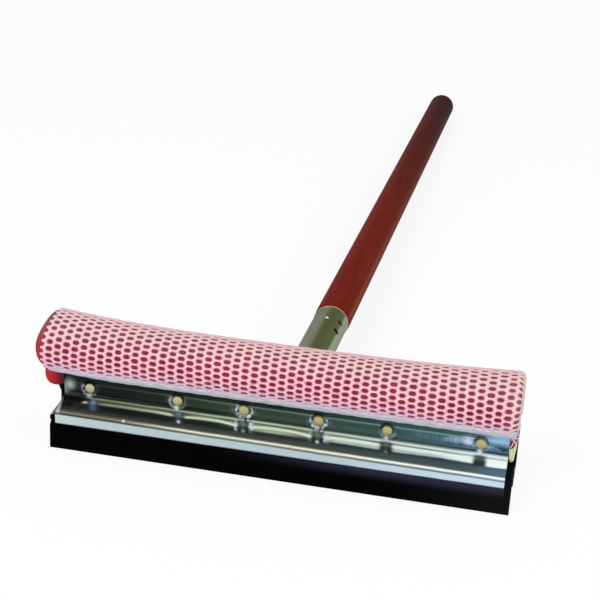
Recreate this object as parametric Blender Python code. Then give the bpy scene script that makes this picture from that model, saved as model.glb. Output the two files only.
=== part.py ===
"""Long-handled squeegee: a riveted sheet-metal head holds a rubber blade below and a
net-covered sponge roll above, and a metal socket joins it to a long wooden handle.

Metres, +Z up. X runs along the head, the front faces -Y and the handle runs to +Y.
The origin is the middle of the blade's lower edge. The squeegee stands on that edge
and on the far end of its handle, both on z = 0.
"""

import math

import bmesh
import bpy
from mathutils import Matrix, Vector

# Fits
clearance = 0.0003
overrun = 0.004

# The head's length is its blade's, and the other lengths along X go by it
head_length = 0.2620
front_plate_inset = 0.0040
back_plate_overhang = 0.0005
roll_left_overhang = 0.0056
roll_right_inset = 0.0003
net_left_overhang = 0.0002
net_right_inset = 0.0007

# Rubber blade, a strip that runs on under the shelf and up into the clamp
blade_thickness = 0.0022
blade_fold_height = 0.0220
blade_rise = 0.0007
blade_top_height = 0.0415
blade_bend_radius = 0.0026

# Sheet-metal plates of the head
plate_gauge = 0.0008
lip_bottom_height = 0.0168
lip_height = 0.0064
shelf_depth = 0.0155
shelf_rise = 0.0038
shelf_crown = 0.0011
shelf_crown_place_share = 0.45
flange_top_height = 0.0450
fold_radius = 0.0009
crown_radius = 0.0140
crease_radius = 0.0020

# Rivets, in one row along the head
rivet_row_height = 0.0333
rivet_place_shares = (0.44, 0.236)
socket_rivet_spacing = 0.0426
rivet_shank_diameter = 0.0032
rivet_head_diameter = 0.0056
rivet_head_height = 0.0011
rivet_clinch_diameter = 0.0050
rivet_clinch_height = 0.0009
rivet_bore_diameter = 0.0018
rivet_bore_depth = 0.0026
seat_diameter = 0.0092
seat_floor_diameter = 0.0068
seat_depth = 0.0007

# Sponge roll and its tail, which the two plates clamp
roll_radius = 0.0155
roll_left_swell = 0.0025
roll_right_swell = 0.0016
roll_drop = 0.0010
roll_drop_spread = math.radians(28)
roll_forward = 0.0083
roll_rise = 0.0167
roll_left_round = 0.0080
roll_right_round = 0.0030
tail_thickness = 0.0015
lobe_forward = 0.0035
lobe_depth = 0.0160
lobe_height = 0.0184
lobe_centre_height = 0.0420
left_lobe_length = 0.0130
left_lobe_overhang = 0.0070
right_lobe_length = 0.0071
right_lobe_inset = 0.0004

# Net sleeve round the roll
net_thickness = 0.0006
net_tuck_gap = 0.0008
net_strand_share = 0.34
net_columns = 20
net_rows = 10

# Wooden handle
handle_diameter = 0.0238
handle_reach = 0.7500
handle_axis_height = 0.0311
handle_end_round = 0.0060
tenon_start = 0.0700
shoulder_length = 0.0060
shoulder_drop = 0.0013

# Socket that joins the handle to the head
socket_mouth = 0.1575
socket_mouth_diameter = 0.0224
socket_root_diameter = 0.0220
socket_gauge = 0.0009
socket_flare = 0.0003
socket_flare_length = 0.0014
socket_flange_width = 0.0600
socket_flange_height = 0.0260
socket_flange_gauge = 0.0012
socket_fillet = 0.0026

# Nail through the socket into the handle, and two slits pressed through the socket
nail_place = 0.1375
nail_turn = math.radians(4)
nail_shank_diameter = 0.0016
nail_head_diameter = 0.0030
nail_head_height = 0.0008
nail_head_edge_share = 0.35
nail_head_dome_share = 0.85
nail_length = 0.0085
nail_point_length = 0.0020
slit_places = (0.1285, 0.1422)
slit_turn = math.radians(52)
slit_width = 0.0009
slit_length = 0.0044

# Facets
bend_steps = 5
crown_steps = 5
turn_steps = 40
rivet_steps = 16
seat_steps = 24
roll_steps = 32
lobe_steps = 18
dome_steps = 5
bend_crease = math.radians(35)
turn_crease = math.radians(40)
roll_crease = math.radians(50)

# Lengths along the head that follow from its own
front_plate_length = head_length - front_plate_inset * 2
back_plate_length = head_length + back_plate_overhang * 2
roll_left_reach = head_length / 2 + roll_left_overhang
roll_right_reach = head_length / 2 - roll_right_inset
net_left = -head_length / 2 - net_left_overhang
net_right = head_length / 2 - net_right_inset
left_lobe_start = -head_length / 2 - left_lobe_overhang
left_lobe = (left_lobe_start, left_lobe_start + left_lobe_length)
right_lobe_end = head_length / 2 - right_lobe_inset
right_lobe = (right_lobe_end - right_lobe_length, right_lobe_end)

# Planes that the pieces share, front to back
blade_front = -blade_thickness / 2
blade_back = blade_thickness / 2
lip_front = blade_front - clearance - plate_gauge
flange_front = lip_front + shelf_depth
flange_back = flange_front + plate_gauge
tail_front = flange_back + seat_depth + clearance
tail_back = tail_front + tail_thickness
clamped_blade_front = tail_back + clearance
clamped_blade_back = clamped_blade_front + blade_thickness
back_plate_front = clamped_blade_back + clearance
back_plate_back = back_plate_front + plate_gauge
socket_flange_front = back_plate_back + clearance
socket_flange_back = socket_flange_front + socket_flange_gauge

# Heights that the pieces share
fold_height = lip_bottom_height + lip_height
crease_height = fold_height + shelf_rise
blade_shelf_height = blade_fold_height + blade_rise
web_drop = blade_thickness + clearance
tail_bottom_height = blade_shelf_height + clearance

roll_middle = (tail_front + tail_back) / 2 - roll_forward
roll_height = flange_top_height + roll_rise
roll_shift = (roll_right_reach - roll_left_reach) / 2
roll_half_length = (roll_right_reach + roll_left_reach) / 2
mouth_direction = math.atan2(-roll_rise, roll_forward)

# The handle slopes down until the far end of its underside lies on z = 0
handle_radius = handle_diameter / 2
handle_contact = handle_reach - handle_end_round
handle_slope = math.atan2(handle_radius - handle_axis_height, handle_contact)


def finish(name, colour, roughness, metallic=0):
    """A plain surface of one colour."""
    material = bpy.data.materials.new(name)
    material.use_nodes = True
    shader = material.node_tree.nodes["Principled BSDF"]
    shader.inputs["Base Color"].default_value = (*colour, 1)
    shader.inputs["Roughness"].default_value = roughness
    shader.inputs["Metallic"].default_value = metallic
    return material


def place(name, shape, material=None, parent=None, crease=None):
    """Puts a bmesh into the scene as an object."""
    mesh = bpy.data.meshes.new(name)
    shape.to_mesh(mesh)
    shape.free()
    if crease:
        mesh.shade_smooth()
        mesh.set_sharp_from_angle(angle=crease)
    if material:
        mesh.materials.append(material)
    piece = bpy.data.objects.new(name, mesh)
    piece.parent = parent
    bpy.context.scene.collection.objects.link(piece)
    return piece


def helper(name, shape, parent=None):
    """A shape that only cuts or joins others, and is no piece itself."""
    piece = place(name, shape, parent=parent)
    piece.hide_render = True
    piece.display_type = "WIRE"
    return piece


def combine(piece, other, operation):
    """Cuts another object from a piece, or joins it on."""
    modifier = piece.modifiers.new(f"{operation.lower()} {other.name}", "BOOLEAN")
    modifier.operation = operation
    modifier.solver = "EXACT"
    modifier.object = other


def block(low, high):
    """A box between two opposite corners."""
    shape = bmesh.new()
    bmesh.ops.create_cube(shape, size=1)
    size = [b - a for a, b in zip(low, high)]
    middle = [(a + b) / 2 for a, b in zip(low, high)]
    bmesh.ops.scale(shape, vec=size, verts=shape.verts)
    bmesh.ops.translate(shape, vec=middle, verts=shape.verts)
    return shape


def turned(profile, steps):
    """A solid turned about Z from (radius, height) points that start and end on the axis."""
    shape = bmesh.new()
    points = [shape.verts.new((radius, 0, height)) for radius, height in profile]
    edges = [shape.edges.new(pair) for pair in zip(points, points[1:])]
    bmesh.ops.spin(
        shape,
        geom=points + edges,
        axis=(0, 0, 1),
        cent=(0, 0, 0),
        angle=math.tau,
        steps=steps,
    )
    bmesh.ops.remove_doubles(shape, verts=shape.verts, dist=clearance / 1000)
    bmesh.ops.recalc_face_normals(shape, faces=shape.faces)
    return shape


def merged(shapes):
    """One bmesh that holds several separate shapes."""
    whole = bmesh.new()
    for shape in shapes:
        mesh = bpy.data.meshes.new("part of a helper")
        shape.to_mesh(mesh)
        shape.free()
        whole.from_mesh(mesh)
        bpy.data.meshes.remove(mesh)
    return whole


def rounded(corners):
    """The path through (y, z, radius, steps) corners, each turned by an arc of its radius."""
    path = []
    for index, (y, z, radius, steps) in enumerate(corners):
        here = Vector((y, z))
        if not radius:
            path.append(here)
            continue
        before = (Vector(corners[index - 1][:2]) - here).normalized()
        after = (Vector(corners[index + 1][:2]) - here).normalized()
        half = before.angle(after) / 2
        centre = here + (before + after).normalized() * radius / math.sin(half)
        start = here + before * radius / math.tan(half) - centre
        turn = start.angle_signed(here + after * radius / math.tan(half) - centre)
        for step in range(steps + 1):
            path.append(centre + start @ Matrix.Rotation(turn * step / steps, 2))
    return path


def bent_sheet(name, corners, length, gauge, material, parent):
    """A sheet bent along X. Its path is the face that looks forward and up."""
    shape = bmesh.new()
    rows = []
    for side in (-length / 2, length / 2):
        rows.append([shape.verts.new((side, y, z)) for y, z in rounded(corners)])
    for low, high in zip(zip(*rows), list(zip(*rows))[1:]):
        shape.faces.new((low[0], low[1], high[1], high[0]))
    sheet = place(name, shape, material, parent, bend_crease)
    wall = sheet.modifiers.new("gauge", "SOLIDIFY")
    wall.thickness = gauge
    wall.offset = -1
    wall.use_even_offset = True
    return sheet


def rivet_spots():
    """The rivets' places along X, left to right: four outer ones and two at the socket."""
    outer = [share * front_plate_length for share in rivet_place_shares]
    right = sorted([*outer, socket_rivet_spacing / 2])
    return [-x for x in reversed(right)] + right


def in_rivet_row(shapes):
    """Turns shapes made along Z to face the front, one at each rivet's place."""
    facing = Matrix.Rotation(math.pi / 2, 4, "X")
    for x, shape in zip(rivet_spots(), shapes):
        spot = Matrix.Translation((x, 0, rivet_row_height))
        bmesh.ops.transform(shape, matrix=spot @ facing, verts=shape.verts)
    return merged(shapes)


def rivet_holes(head):
    """Clearance holes for the six shanks, through all that they join."""
    radius = rivet_shank_diameter / 2 + clearance
    front = -flange_front + overrun
    back = -socket_flange_back - overrun
    profile = [(0, front), (radius, front), (radius, back), (0, back)]
    shapes = [turned(profile, rivet_steps) for _ in rivet_spots()]
    return helper("rivet_holes", in_rivet_row(shapes), head)


def seat_cones(name, front, back, widening, head):
    """The six seats' cones between two planes. They narrow to the seat's floor behind."""
    slope = (seat_diameter - seat_floor_diameter) / 2 / seat_depth
    floor = seat_floor_diameter / 2 + widening
    brim = floor + (back - front) * slope
    profile = [(0, -front), (brim, -front), (floor, -back), (0, -back)]
    shapes = [turned(profile, seat_steps) for _ in rivet_spots()]
    return helper(name, in_rivet_row(shapes), head)


def front_plate(head, steel):
    """The lip in front of the blade, the crowned shelf, the crease and the riveted flange."""
    crown = flange_front - lip_front
    crown_y = lip_front + crown * shelf_crown_place_share
    crown_z = fold_height + shelf_rise * shelf_crown_place_share + shelf_crown
    corners = [
        (lip_front, lip_bottom_height, 0, 0),
        (lip_front, fold_height, fold_radius, bend_steps),
        (crown_y, crown_z, crown_radius, crown_steps),
        (flange_front, crease_height, crease_radius, bend_steps),
        (flange_front, flange_top_height, 0, 0),
    ]
    size = (front_plate_length, plate_gauge)
    plate = bent_sheet("front_plate", corners, *size, steel, head)
    wall = (flange_front + plate_gauge / 2, flange_back + seat_depth)
    backs = seat_cones("seat_backs", *wall, plate_gauge / 2, head)
    combine(plate, backs, "UNION")
    hollow = (flange_front - clearance, flange_front + seat_depth)
    combine(plate, seat_cones("seat_hollows", *hollow, 0, head), "DIFFERENCE")
    return plate


def back_plate(head, steel):
    """The flange behind the clamped pieces, the web under the blade and the rear lip."""
    lip = blade_back + clearance
    corners = [
        (lip, lip_bottom_height, 0, 0),
        (lip, blade_fold_height - web_drop, fold_radius, bend_steps),
        (back_plate_front, blade_shelf_height - web_drop, crease_radius, bend_steps),
        (back_plate_front, flange_top_height, 0, 0),
    ]
    size = (back_plate_length, plate_gauge)
    return bent_sheet("back_plate", corners, *size, steel, head)


def rubber_blade(head, rubber):
    """The wiping edge, the part under the shelf and the part that the flanges clamp."""
    corners = [
        (blade_front, 0, 0, 0),
        (blade_front, blade_fold_height, blade_bend_radius, bend_steps),
        (clamped_blade_front, blade_shelf_height, fold_radius, bend_steps),
        (clamped_blade_front, blade_top_height, 0, 0),
    ]
    size = (head_length, blade_thickness)
    return bent_sheet("rubber_blade", corners, *size, rubber, head)


def end_inset(x):
    """How far the rounding at the roll's nearer end draws its skin in."""
    left = x + roll_left_reach
    right = roll_right_reach - x
    reach, size = min((left, roll_left_round), (right, roll_right_round))
    past = min(max(size - reach, 0), size)
    return size - math.sqrt(size**2 - past**2)


def roll_point(x, angle, grow):
    """A point of the roll's skin, grown by an allowance. The section is a circle that
    drops towards the clamp's mouth, and it swells upwards towards the roll's ends."""
    share = (x - roll_shift) / roll_half_length
    swell = (roll_left_swell if share < 0 else roll_right_swell) * abs(share) ** 3
    turn = (angle - mouth_direction + math.pi) % math.tau - math.pi
    drop = roll_drop * math.exp(-((turn / roll_drop_spread) ** 2))
    radius = roll_radius + swell + drop + grow
    return Vector((
        x,
        roll_middle + radius * math.cos(angle),
        roll_height + swell + radius * math.sin(angle),
    ))


def roll_stations():
    """Places along the roll, close together where its ends are rounded."""
    turns = [math.pi / 2 * step / dome_steps for step in range(dome_steps + 1)]
    left = [roll_left_round * (1 - math.cos(turn)) - roll_left_reach for turn in turns]
    right = [roll_right_reach - roll_right_round * (1 - math.cos(turn)) for turn in turns]
    spans = dome_steps * 2
    step = (right[-1] - left[-1]) / spans
    middle = [left[-1] + step * i for i in range(1, spans)]
    return left + middle + right[::-1]


def lobe(ends):
    """The bulge of the unclamped tail past one end of the plates."""
    shape = bmesh.new()
    bmesh.ops.create_uvsphere(
        shape, u_segments=lobe_steps, v_segments=lobe_steps // 2, radius=1
    )
    size = ((ends[1] - ends[0]) / 2, lobe_depth / 2, lobe_height / 2)
    middle = ((ends[1] + ends[0]) / 2, tail_back - lobe_forward, lobe_centre_height)
    bmesh.ops.scale(shape, vec=size, verts=shape.verts)
    bmesh.ops.translate(shape, vec=middle, verts=shape.verts)
    return shape


def roll_body(stations):
    """A closed body along the roll, from (x, allowance) stations."""
    shape = bmesh.new()
    rings = []
    angles = [math.tau * step / roll_steps for step in range(roll_steps)]
    for x, grow in stations:
        rings.append([shape.verts.new(roll_point(x, angle, grow)) for angle in angles])
    for ring, following in zip(rings, rings[1:]):
        for i in range(roll_steps):
            j = (i + 1) % roll_steps
            shape.faces.new((ring[i], ring[j], following[j], following[i]))
    shape.faces.new(rings[0])
    shape.faces.new(rings[-1])
    bmesh.ops.recalc_face_normals(shape, faces=shape.faces)
    return shape


def sponge_roll(head, foam, holes):
    """The roll, its clamped tail, and the lobes that bulge past the plates' ends.
    The net runs between the roll and the lobes, which leave room for it."""
    body = roll_body([(x, -end_inset(x)) for x in roll_stations()])
    sponge = place("sponge", body, foam, head, roll_crease)

    low = (roll_left_round - roll_left_reach, tail_front, tail_bottom_height)
    high = (right_lobe[1], tail_back, roll_height)
    combine(sponge, helper("sponge_tail", block(low, high), head), "UNION")
    lobes = helper("sponge_lobes", merged([lobe(left_lobe), lobe(right_lobe)]), head)
    room = clearance * 2 + net_thickness
    start = net_left - clearance
    stations = [start] + [x for x in roll_stations() if x > start]
    body = roll_body([(x, room) for x in stations])
    combine(lobes, helper("net_room", body, head), "DIFFERENCE")
    combine(sponge, lobes, "UNION")

    front_reach = front_plate_length / 2 + clearance
    back_reach = back_plate_length / 2 + clearance
    depth = roll_radius * 3
    ceiling = flange_top_height + clearance
    front = block((-front_reach, -depth, 0), (front_reach, tail_front, ceiling))
    back = block((-back_reach, tail_back, 0), (back_reach, depth, ceiling))
    combine(sponge, helper("front_of_tail", front, head), "DIFFERENCE")
    combine(sponge, helper("back_of_tail", back, head), "DIFFERENCE")
    combine(sponge, holes, "DIFFERENCE")
    return sponge


def net_sleeve(head, strand):
    """A honeycomb net round the roll, open along the bottom where the tail comes out.
    Each cell is a six-sided hole in a six-sided ring, and the rings share their edges."""
    slim = roll_radius + roll_drop
    stout = slim + roll_left_swell
    front_edge = tail_front - net_tuck_gap - roll_middle
    back_edge = tail_back + net_tuck_gap - roll_middle
    start = -math.acos(front_edge / stout)
    stop = -math.acos(back_edge / slim) - math.tau
    wide = (net_right - net_left) / (3 * net_columns + 1)
    high = (stop - start) / (2 * net_rows + 1)
    rim = ((-2, 0), (-1, 1), (1, 1), (2, 0), (1, -1), (-1, -1))

    shape = bmesh.new()
    found = {}

    def corner(column, row, key=None):
        if key is None or key not in found:
            x = net_left + column * wide
            spot = roll_point(x, start + row * high, clearance)
            found[key] = shape.verts.new(spot)
        return found[key]

    hole_share = 1 - net_strand_share
    for column in range(net_columns):
        for row in range(net_rows):
            middle = (3 * column + 2, 2 * row + 1 + column % 2)
            outer = []
            inner = []
            for across, along in rim:
                key = (middle[0] + across, middle[1] + along)
                outer.append(corner(*key, key))
                spot = [m + hole_share * d for m, d in zip(middle, (across, along))]
                inner.append(corner(*spot))
            for i in range(6):
                j = (i + 1) % 6
                shape.faces.new((outer[i], outer[j], inner[j], inner[i]))
    shape.normal_update()
    face = next(iter(shape.faces))
    centre = face.calc_center_median()
    if face.normal.dot(centre - Vector((centre.x, roll_middle, roll_height))) < 0:
        bmesh.ops.reverse_faces(shape, faces=shape.faces)
    net = place("net_sleeve", shape, strand, head)
    wall = net.modifiers.new("thickness", "SOLIDIFY")
    wall.thickness = net_thickness
    wall.offset = 1
    return net


def rivets(head, brass):
    """Six semi-tubular rivets: domed head in its seat, shank, and a rolled, bored tail."""
    head_radius = rivet_head_diameter / 2
    shank = rivet_shank_diameter / 2
    tail = rivet_clinch_diameter / 2
    bore = rivet_bore_diameter / 2
    seat = -flange_front - seat_depth + clearance
    for number, x in enumerate(rivet_spots(), start=1):
        at_socket = abs(x) < socket_rivet_spacing / 2 + clearance
        behind = socket_flange_back if at_socket else back_plate_back
        inner = -behind - clearance
        end = inner - rivet_clinch_height
        profile = [(0, seat + rivet_head_height)]
        for step in range(1, dome_steps + 1):
            bend = math.pi / 2 * step / dome_steps
            height = seat + rivet_head_height * (1 + math.cos(bend)) / 2
            profile.append((head_radius * math.sin(bend), height))
        profile += [
            (head_radius, seat),
            (shank, seat),
            (shank, inner),
            (tail, inner),
            (tail, (inner + end) / 2),
            ((shank + bore) / 2, end),
            (bore, (inner + end) / 2),
            (bore, end + rivet_bore_depth),
            (0, end + rivet_bore_depth),
        ]
        shape = turned(profile, rivet_steps)
        rivet = place(f"rivet_{number}", shape, brass, head, turn_crease)
        rivet.location = (x, 0, rivet_row_height)
        rivet.rotation_euler = (math.pi / 2, 0, 0)


def socket_outer(place_along):
    """The socket's outer radius at a distance along the handle's axis."""
    root, mouth = socket_root_diameter / 2, socket_mouth_diameter / 2
    return root + (mouth - root) * place_along / socket_mouth


def radial(turn, radius, along):
    """A place on the handle, turned from its top towards the right, in the axis's frame."""
    return Vector((radius * math.sin(turn), -radius * math.cos(turn), along))


def handle_socket(head, axis, steel, holes):
    """A rolled, slightly tapered tube with an oval flange riveted to the back plate."""
    root = (socket_flange_front + socket_flange_back) / 2
    neck = root + socket_fillet
    flare_start = socket_mouth - socket_flare_length
    outer = [(0, root)]
    for step in range(bend_steps + 1):
        bend = math.pi / 2 * step / bend_steps
        radius = socket_outer(neck) + socket_fillet * (1 - math.sin(bend))
        outer.append((radius, neck - socket_fillet * math.cos(bend)))
    outer += [
        (socket_outer(flare_start), flare_start),
        (socket_outer(socket_mouth) + socket_flare, socket_mouth - socket_gauge / 2),
        (socket_outer(socket_mouth) + socket_flare / 2, socket_mouth),
        (0, socket_mouth),
    ]
    tube = turned(outer, turn_steps)
    socket = place("handle_socket", tube, steel, axis, turn_crease)

    height = handle_axis_height + root * math.tan(handle_slope)
    round_end = socket_flange_height / 2
    across = socket_flange_width / 2 - round_end
    flange = bmesh.new()
    for side, begin in ((1, -math.pi / 2), (-1, math.pi / 2)):
        for step in range(turn_steps // 2 + 1):
            angle = begin + math.tau * step / turn_steps
            x = side * across + round_end * math.cos(angle)
            z = height + round_end * math.sin(angle)
            flange.verts.new((x, socket_flange_front, z))
    face = flange.faces.new(flange.verts)
    push = bmesh.ops.extrude_face_region(flange, geom=[face])
    moved = [item for item in push["geom"] if isinstance(item, bmesh.types.BMVert)]
    bmesh.ops.translate(flange, vec=(0, socket_flange_gauge, 0), verts=moved)
    bmesh.ops.recalc_face_normals(flange, faces=flange.faces)
    combine(socket, helper("socket_flange", flange, head), "UNION")

    before = socket_flange_front - overrun
    beyond = socket_mouth + overrun
    bore = [(0, before)]
    for along in (before, socket_mouth, beyond):
        bore.append((socket_outer(along) - socket_gauge, along))
    bore.append((0, beyond))
    combine(socket, helper("socket_bore", turned(bore, turn_steps), axis), "DIFFERENCE")

    slits = []
    for along in slit_places:
        radius = socket_outer(along)
        half = (slit_length / 2, socket_gauge * 2, slit_width / 2)
        slit = block([-side for side in half], half)
        spot = Matrix.Translation(radial(slit_turn, radius, along))
        turn = Matrix.Rotation(slit_turn, 4, "Z")
        bmesh.ops.transform(slit, matrix=spot @ turn, verts=slit.verts)
        slits.append(slit)
    combine(socket, helper("socket_slits", merged(slits), axis), "DIFFERENCE")
    combine(socket, nail_hole(axis), "DIFFERENCE")
    combine(socket, holes, "DIFFERENCE")
    return socket


def on_nail(shape):
    """Stands a shape made along Z at the nail's place, its foot on the socket."""
    foot = radial(nail_turn, socket_outer(nail_place), nail_place)
    stand = radial(nail_turn, 1, 0).to_track_quat("Z", "Y").to_matrix().to_4x4()
    matrix = Matrix.Translation(foot) @ stand
    bmesh.ops.transform(shape, matrix=matrix, verts=shape.verts)
    return shape


def nail_hole(axis):
    """The nail's clearance hole through the socket and into the wood."""
    if "nail_hole" in bpy.data.objects:
        return bpy.data.objects["nail_hole"]
    radius = nail_shank_diameter / 2 + clearance
    bottom = -nail_length - clearance
    profile = [(0, overrun), (radius, overrun), (radius, bottom), (0, bottom)]
    return helper("nail_hole", on_nail(turned(profile, rivet_steps)), axis)


def socket_nail(axis, steel):
    """A short nail that keeps the handle in the socket."""
    shank = nail_shank_diameter / 2
    top = nail_head_diameter / 2
    point = nail_point_length - nail_length
    profile = [
        (0, clearance + nail_head_height),
        (top / 2, clearance + nail_head_height * nail_head_dome_share),
        (top, clearance + nail_head_height * nail_head_edge_share),
        (top, clearance),
        (shank, clearance),
        (shank, point),
        (0, -nail_length),
    ]
    nail = on_nail(turned(profile, rivet_steps))
    return place("socket_nail", nail, steel, axis, turn_crease)


def wooden_handle(axis, wood):
    """A dowel: tenon inside the socket, sloping shoulder at its mouth, rounded far end."""
    length = handle_reach / math.cos(handle_slope)
    slack = socket_gauge + clearance
    shoulder = socket_mouth + clearance
    profile = [(0, tenon_start)]
    for along in (tenon_start, shoulder):
        profile.append((socket_outer(along) - slack, along))
    profile += [
        (handle_radius - shoulder_drop, shoulder),
        (handle_radius, shoulder + shoulder_length),
    ]
    for step in range(dome_steps + 1):
        bend = math.pi / 2 * step / dome_steps
        radius = handle_radius - handle_end_round * (1 - math.cos(bend))
        profile.append((radius, length - handle_end_round * (1 - math.sin(bend))))
    profile.append((0, length))
    handle = place("handle", turned(profile, turn_steps), wood, axis, turn_crease)
    combine(handle, nail_hole(axis), "DIFFERENCE")
    return handle


def build():
    """Clears the scene and makes every piece."""
    for item in list(bpy.data.objects):
        bpy.data.objects.remove(item)
    steel = finish("plated_steel", (0.62, 0.64, 0.62), 0.12, 1)
    dull_steel = finish("socket_steel", (0.34, 0.37, 0.28), 0.32, 1)
    brass = finish("rivet_brass", (0.78, 0.74, 0.46), 0.35, 1)
    rubber = finish("black_rubber", (0.012, 0.012, 0.014), 0.45)
    foam = finish("red_foam", (0.55, 0.03, 0.06), 0.95)
    strand = finish("net_strand", (0.92, 0.70, 0.74), 0.6)
    wood = finish("stained_wood", (0.20, 0.028, 0.014), 0.35)

    head = bpy.data.objects.new("head", None)
    axis = bpy.data.objects.new("handle_axis", None)
    for empty in (head, axis):
        bpy.context.scene.collection.objects.link(empty)
    axis.location = (0, 0, handle_axis_height)
    axis.rotation_euler = (handle_slope - math.pi / 2, 0, 0)

    holes = rivet_holes(head)
    plates = (front_plate(head, steel), back_plate(head, steel))
    for sheet in (*plates, rubber_blade(head, rubber)):
        combine(sheet, holes, "DIFFERENCE")
    sponge_roll(head, foam, holes)
    net_sleeve(head, strand)
    rivets(head, brass)
    handle_socket(head, axis, dull_steel, holes)
    socket_nail(axis, steel)
    wooden_handle(axis, wood)


build()
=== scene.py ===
"""Long-handled squeegee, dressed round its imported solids.

Metres, +Z up. X runs along the head, the front faces -Y and the handle runs to +Y.
Sections of the head are paths in (y, z) carried along X, the roll is a circle in (y, z)
that swells towards its ends, and the handle and socket are turned about a sloping axis.
"""

import bmesh
import bpy
import numpy as np
from mathutils import Euler, Matrix, Vector


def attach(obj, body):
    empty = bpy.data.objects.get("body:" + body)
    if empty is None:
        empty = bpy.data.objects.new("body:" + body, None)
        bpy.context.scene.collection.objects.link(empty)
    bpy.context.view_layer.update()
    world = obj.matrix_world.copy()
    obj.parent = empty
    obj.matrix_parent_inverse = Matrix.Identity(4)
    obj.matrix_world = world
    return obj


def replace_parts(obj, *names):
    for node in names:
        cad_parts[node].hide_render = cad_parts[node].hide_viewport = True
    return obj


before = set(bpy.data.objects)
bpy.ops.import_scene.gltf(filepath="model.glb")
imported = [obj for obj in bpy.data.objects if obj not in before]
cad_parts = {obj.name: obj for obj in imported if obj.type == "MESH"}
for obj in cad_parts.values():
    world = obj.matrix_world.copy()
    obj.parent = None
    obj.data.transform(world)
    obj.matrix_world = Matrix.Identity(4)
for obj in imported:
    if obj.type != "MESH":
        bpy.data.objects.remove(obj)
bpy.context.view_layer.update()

mm = 0.001
tau = 2 * np.pi

# Head
front_plate_half = 127.0 * mm
back_plate_half = 131.5 * mm
blade_half = 131.0 * mm
gauge = 0.8 * mm
lip_bottom = 16.8 * mm
fold_height = 23.2 * mm
crease_height = 27.0 * mm
flange_top = 45.0 * mm
lip_front = -2.2 * mm
flange_front = 13.3 * mm
back_plate_front = 19.4 * mm
crown_spot = (4.775 * mm, 26.01 * mm)
trim_start = -124 * mm

# Rivets
rivet_places = np.array([-111.76, -59.94, -21.3, 21.3, 59.94, 111.76]) * mm
rivet_height = 33.3 * mm
seat_radius = 4.6 * mm
seat_floor_radius = 3.4 * mm
seat_depth = 0.7 * mm

# Roll
roll_radius = 15.5 * mm
roll_centre = (7.55 * mm, 61.7 * mm)
roll_left, roll_right = -136.6 * mm, 130.7 * mm
left_swell, right_swell = 2.5 * mm, 1.6 * mm
left_round, right_round = 8.0 * mm, 3.0 * mm
mouth_turn = np.arctan2(-16.7, 8.3)
tail_middle = 15.85 * mm
tail_gauge = 1.5 * mm
lobe_height = 42.0 * mm

# Net
net_left, net_right = -132.9 * mm, 135.3 * mm
net_columns = 53
net_rows = 21
net_start, net_stop = -2.50, -7.10
net_third = (net_right - net_left) / net_columns / 3
net_half_row = (net_stop - net_start) / (2 * net_rows + 1)
hem_start, hem_stop = -1.208, -7.28
strand_height = 1.0 * mm

# Light on the front plate, in millimetres along its path from the lip's foot
gold_at = 6.75
band_at = 18.6
crease_at = 21.95
flange_from = 22.3
pale_at = 30.8

# Handle and socket
axis_height = 31.1 * mm
handle_radius = 11.9 * mm
axis_slope = np.arctan2(handle_radius - axis_height, 744 * mm)
handle_end = 750 * mm / np.cos(axis_slope)
socket_mouth = 157.5 * mm
nail_along = 137.5 * mm
nail_turn = np.radians(4)

# Stage
floor_half = 14.0
floor_glow = 0.86
room_level = 0.62
lamps = (
    ("key lamp", (-0.7, -1.5, 1.5), (0.0, 0.1, 0.04), 1.1, 26.0),
    ("side lamp", (1.6, -0.4, 1.1), (0.0, 0.2, 0.04), 1.2, 12.0),
)
camera_place = (0.1448, -0.6741, 0.4139)
camera_turn = np.radians((66.7704, -2.8038, 11.6163))


def shade(red, green, blue):
    """An 8-bit screen colour as linear light."""
    share = np.array([red, green, blue]) / 255
    linear = np.where(share <= 0.04045, share / 12.92, ((share + 0.055) / 1.055) ** 2.4)
    return (*(float(part) for part in linear), 1.0)


class Term:
    """A socket that takes arithmetic, so that shader sums read as written."""

    def __init__(self, nodes, socket):
        self.nodes = nodes
        self.socket = socket

    def math(self, operation, *others):
        return self.nodes.node("Math", dict(enumerate((self, *others))), operation=operation)

    def __add__(self, other):
        return self.math("ADD", other)

    def __mul__(self, other):
        return self.math("MULTIPLY", other)

    __radd__ = __add__
    __rmul__ = __mul__

    def __sub__(self, other):
        return self.math("SUBTRACT", other)

    def __rsub__(self, other):
        return (self * -1.0) + other

    def __truediv__(self, other):
        return self.math("DIVIDE", other)

    def __abs__(self):
        return self.math("ABSOLUTE")

    def capped(self):
        """No more than 1."""
        return self.math("MINIMUM", 1.0)

    def line(self, centre, width):
        """1 on a line, falling to 0 beside it as exp(-(distance / width) ** 2)."""
        off = (self - centre) / width
        return (off * off * -1.0).math("EXPONENT")

    def rise(self, low, high):
        """0 below low, 1 above high and a smooth step between."""
        spans = {"Value": self, "From Min": low, "From Max": high}
        return self.nodes.node("MapRange", spans, interpolation_type="SMOOTHSTEP")

    def fall(self, low, high):
        """1 below low, 0 above high and a smooth step between."""
        return 1.0 - self.rise(low, high)


class Nodes:
    """The shader nodes of a material or of the room, and one method that adds any node."""

    def __init__(self, tree):
        self.tree = tree

    def feed(self, socket, value):
        if isinstance(value, Term):
            self.tree.links.new(value.socket, socket)
        else:
            socket.default_value = value

    def node(self, kind, inputs, output=0, **settings):
        made = self.tree.nodes.new("ShaderNode" + kind)
        for key, value in settings.items():
            setattr(made, key, value)
        for key, value in inputs.items():
            self.feed(made.inputs[key], value)
        return Term(self, made.outputs[output])

    def straight(self):
        """1 for what the camera sees, also in gloss or through glass, and 0 for other light."""
        kinds = ("Is Camera Ray", "Is Glossy Ray", "Is Transmission Ray")
        camera, gloss, glass = (self.node("LightPath", {}, kind) for kind in kinds)
        return (camera + gloss + glass).capped()


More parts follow.
